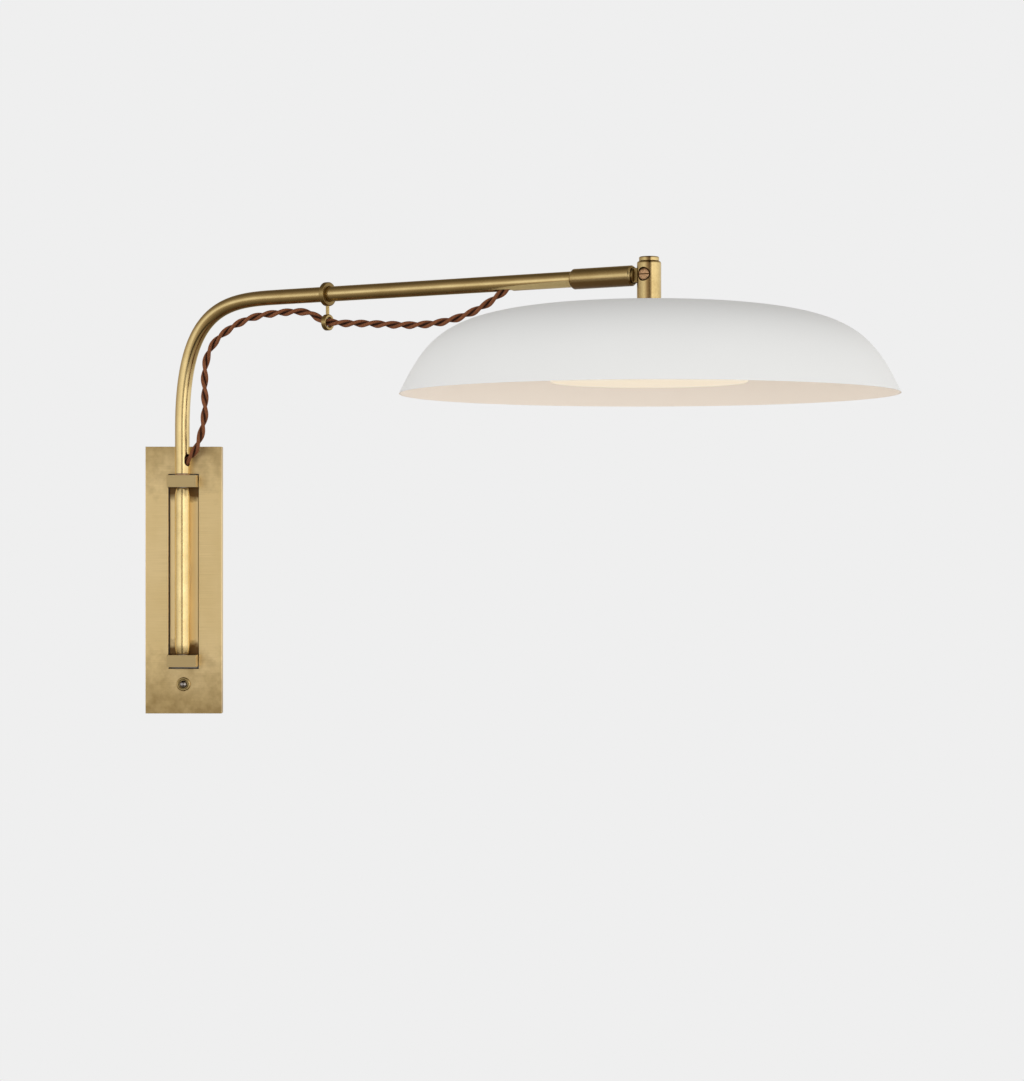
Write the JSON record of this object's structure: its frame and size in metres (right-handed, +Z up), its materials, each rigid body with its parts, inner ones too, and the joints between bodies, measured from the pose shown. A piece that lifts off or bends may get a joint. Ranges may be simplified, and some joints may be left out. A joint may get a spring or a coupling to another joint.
{
  "type": "swing arm wall sconce",
  "caption": "Wall light with a vertical pivot bracket, a bent brass swing arm, a twisted cloth cord through an eyelet clip, and a shallow tilting dome shade with an opal diffuser.",
  "frame": {"origin": "on the wall, at the centre of the mounting strap's flat back face", "axes": "+X right along the wall, -Y out of the wall into the room, +Z up"},
  "size_m": [0.6344, 0.4755, 0.3797],
  "materials": {
    "antique_brass": "hand-rubbed antique brass, satin, lightly mottled",
    "bronze": "turned bronze, satin",
    "zinc_steel": "zinc plated",
    "green_steel": "green plated ground screw",
    "dark_nickel": "polished dark nickel",
    "white_enamel": "matt white powder coat on spun aluminium",
    "opal_acrylic": "opal, satin, lit from behind",
    "brown_cloth": "braided cloth over two twisted conductors",
    "bare_aluminium": "machined",
    "black_plastic": "moulded",
    "nylon": "natural nylon",
    "board_white": "white solder mask"
  },
  "bodies": {
    "wall_bracket": {"mounting_strap": "zinc_steel", "wall_plate": "antique_brass", "swing_bracket": "antique_brass", "upper_bushing": "bronze", "lower_bushing": "bronze", "bracket_screw_upper": "zinc_steel", "bracket_screw_lower": "zinc_steel", "plate_screw_top": "zinc_steel", "plate_screw_bottom": "zinc_steel", "ground_screw": "green_steel", "switch_body": "black_plastic", "switch_nut": "antique_brass"},
    "push_button": {"switch_button": "dark_nickel"},
    "swing_arm": {"pivot_spindle": "zinc_steel", "pivot_sleeve": "antique_brass", "sleeve_grub_screw": "zinc_steel", "thrust_washer": "bronze", "arm_tube": "antique_brass", "clip_collar": "antique_brass", "clip_screw": "zinc_steel", "clip_post": "antique_brass", "clip_eyelet": "antique_brass", "cloth_cord": "brown_cloth", "end_sleeve": "antique_brass", "end_sleeve_screw": "zinc_steel", "knuckle_neck": "antique_brass"},
    "shade_head": {"knuckle_post": "antique_brass", "knuckle_cap": "antique_brass", "pivot_screw": "bronze", "friction_washer_near": "nylon", "friction_washer_far": "nylon", "threaded_nipple": "antique_brass", "shade": "white_enamel", "shade_washer": "zinc_steel", "shade_nut": "zinc_steel", "spacer_tube": "bare_aluminium", "led_pan": "white_enamel", "pan_washer": "zinc_steel", "pan_nut": "zinc_steel", "heat_spreader": "bare_aluminium", "led_driver": "black_plastic", "led_board": "board_white", "standoff_1": "bare_aluminium", "standoff_2": "bare_aluminium", "standoff_3": "bare_aluminium", "board_screw_1": "zinc_steel", "board_screw_2": "zinc_steel", "board_screw_3": "zinc_steel", "diffuser": "opal_acrylic"}
  },
  "joints": [
    {"name": "arm_swing", "type": "hinge", "parent": "wall_bracket", "child": "swing_arm", "pos_m": [0, -0.021, 0], "axis": [0, 0, 1], "range_deg": [-122.5, 7.5]},
    {"name": "shade_tilt", "type": "hinge", "parent": "swing_arm", "child": "shade_head", "pos_m": [0.40187, -0.27702, 0.2464], "axis": [-0.5373, -0.8434, 0], "range_deg": [-5, 15]},
    {"name": "switch_press", "type": "slide", "parent": "wall_bracket", "child": "push_button", "axis": [0, 1, 0], "range_m": [0, 0.0022], "stiffness_N_per_m": 400, "springref_m": -0.002}
  ]
}
